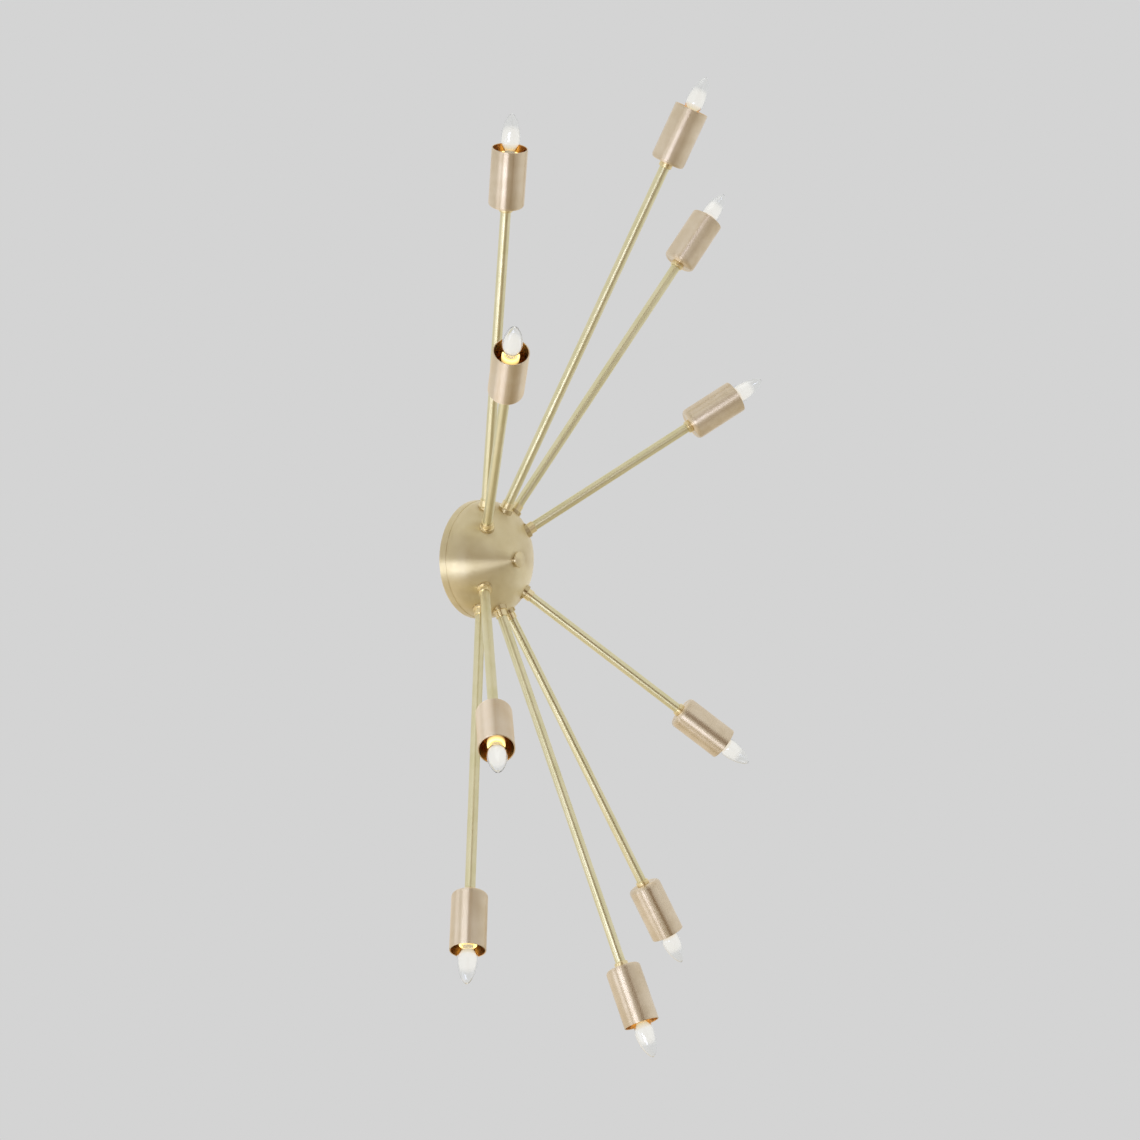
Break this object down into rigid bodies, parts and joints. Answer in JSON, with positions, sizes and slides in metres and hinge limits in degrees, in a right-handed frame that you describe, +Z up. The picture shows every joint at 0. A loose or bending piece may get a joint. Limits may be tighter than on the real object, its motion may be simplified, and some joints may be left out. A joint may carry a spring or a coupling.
{
  "type": "sputnik wall light",
  "caption": "Star-shaped wall light: a half-dome canopy with straight tubular arms that radiate from it, each ending in an open cup that holds a small screw-in bulb.",
  "frame": {"origin": "on the dome's axis in the face that lies on the wall, midway between the two screw slots", "axes": "+Z up, +Y into the wall along the dome's axis, so the light stands out towards -Y"},
  "size_m": [0.4516, 0.2677, 0.9898],
  "materials": {
    "dome_brass": "satin lacquered",
    "plate_brass": "satin lacquered",
    "tube_brass": "satin, drawn lengthwise",
    "cup_brass": "brushed satin",
    "turned_brass": "turned satin",
    "zinc_steel": "zinc plated",
    "green_screw": "green",
    "lamp_holder": "moulded, warm white",
    "bulb_glass": "clear",
    "bulb_base": "rolled bright"
  },
  "bodies": {
    "fixture": {"wall_plate": "plate_brass", "crossbar": "zinc_steel", "centre_stud": "zinc_steel", "stud_nut": "zinc_steel", "ground_screw": "green_screw", "dome": "dome_brass", "dome_collars": "turned_brass", "lock_nuts": "zinc_steel", "cup_nuts": "turned_brass", "arm_tube_01": "tube_brass", "arm_tube_02": "tube_brass", "arm_tube_03": "tube_brass", "arm_tube_04": "tube_brass", "arm_tube_05": "tube_brass", "arm_tube_06": "tube_brass", "arm_tube_07": "tube_brass", "arm_tube_08": "tube_brass", "arm_tube_09": "tube_brass", "arm_tube_10": "tube_brass", "cup_01": "cup_brass", "cup_02": "cup_brass", "cup_03": "cup_brass", "cup_04": "cup_brass", "cup_05": "cup_brass", "cup_06": "cup_brass", "cup_07": "cup_brass", "cup_08": "cup_brass", "cup_09": "cup_brass", "cup_10": "cup_brass", "socket_01": "lamp_holder", "socket_02": "lamp_holder", "socket_03": "lamp_holder", "socket_04": "lamp_holder", "socket_05": "lamp_holder", "socket_06": "lamp_holder", "socket_07": "lamp_holder", "socket_08": "lamp_holder", "socket_09": "lamp_holder", "socket_10": "lamp_holder"},
    "cap_nut": {"cap_nut": "turned_brass"},
    "bulb_01": {"bulb_glass_01": "bulb_glass", "bulb_base_01": "bulb_base"},
    "bulb_02": {"bulb_glass_02": "bulb_glass", "bulb_base_02": "bulb_base"},
    "bulb_03": {"bulb_glass_03": "bulb_glass", "bulb_base_03": "bulb_base"},
    "bulb_04": {"bulb_glass_04": "bulb_glass", "bulb_base_04": "bulb_base"},
    "bulb_05": {"bulb_glass_05": "bulb_glass", "bulb_base_05": "bulb_base"},
    "bulb_06": {"bulb_glass_06": "bulb_glass", "bulb_base_06": "bulb_base"},
    "bulb_07": {"bulb_glass_07": "bulb_glass", "bulb_base_07": "bulb_base"},
    "bulb_08": {"bulb_glass_08": "bulb_glass", "bulb_base_08": "bulb_base"},
    "bulb_09": {"bulb_glass_09": "bulb_glass", "bulb_base_09": "bulb_base"},
    "bulb_10": {"bulb_glass_10": "bulb_glass", "bulb_base_10": "bulb_base"}
  },
  "joints": [
    {"name": "cap_nut_screws_off", "type": "slide", "parent": "fixture", "child": "cap_nut", "axis": [0, -1, 0], "range_m": [0, 0.012]},
    {"name": "bulb_01_screws_out", "type": "slide", "parent": "fixture", "child": "bulb_01", "axis": [-0.5776, -0.5664, 0.5878], "range_m": [0, 0.026]},
    {"name": "bulb_02_screws_out", "type": "slide", "parent": "fixture", "child": "bulb_02", "axis": [-0.3311, -0.3256, 0.8856], "range_m": [0, 0.026]},
    {"name": "bulb_03_screws_out", "type": "slide", "parent": "fixture", "child": "bulb_03", "axis": [0.0542, -0.4617, 0.8854], "range_m": [0, 0.026]},
    {"name": "bulb_04_screws_out", "type": "slide", "parent": "fixture", "child": "bulb_04", "axis": [0.4279, -0.3338, 0.8399], "range_m": [0, 0.026]},
    {"name": "bulb_05_screws_out", "type": "slide", "parent": "fixture", "child": "bulb_05", "axis": [0.6076, -0.5664, 0.5568], "range_m": [0, 0.026]},
    {"name": "bulb_06_screws_out", "type": "slide", "parent": "fixture", "child": "bulb_06", "axis": [0.5776, -0.5664, -0.5878], "range_m": [0, 0.026]},
    {"name": "bulb_07_screws_out", "type": "slide", "parent": "fixture", "child": "bulb_07", "axis": [0.3311, -0.3256, -0.8856], "range_m": [0, 0.026]},
    {"name": "bulb_08_screws_out", "type": "slide", "parent": "fixture", "child": "bulb_08", "axis": [-0.0542, -0.4617, -0.8854], "range_m": [0, 0.026]},
    {"name": "bulb_09_screws_out", "type": "slide", "parent": "fixture", "child": "bulb_09", "axis": [-0.4279, -0.3338, -0.8399], "range_m": [0, 0.026]},
    {"name": "bulb_10_screws_out", "type": "slide", "parent": "fixture", "child": "bulb_10", "axis": [-0.6076, -0.5664, -0.5568], "range_m": [0, 0.026]}
  ]
}
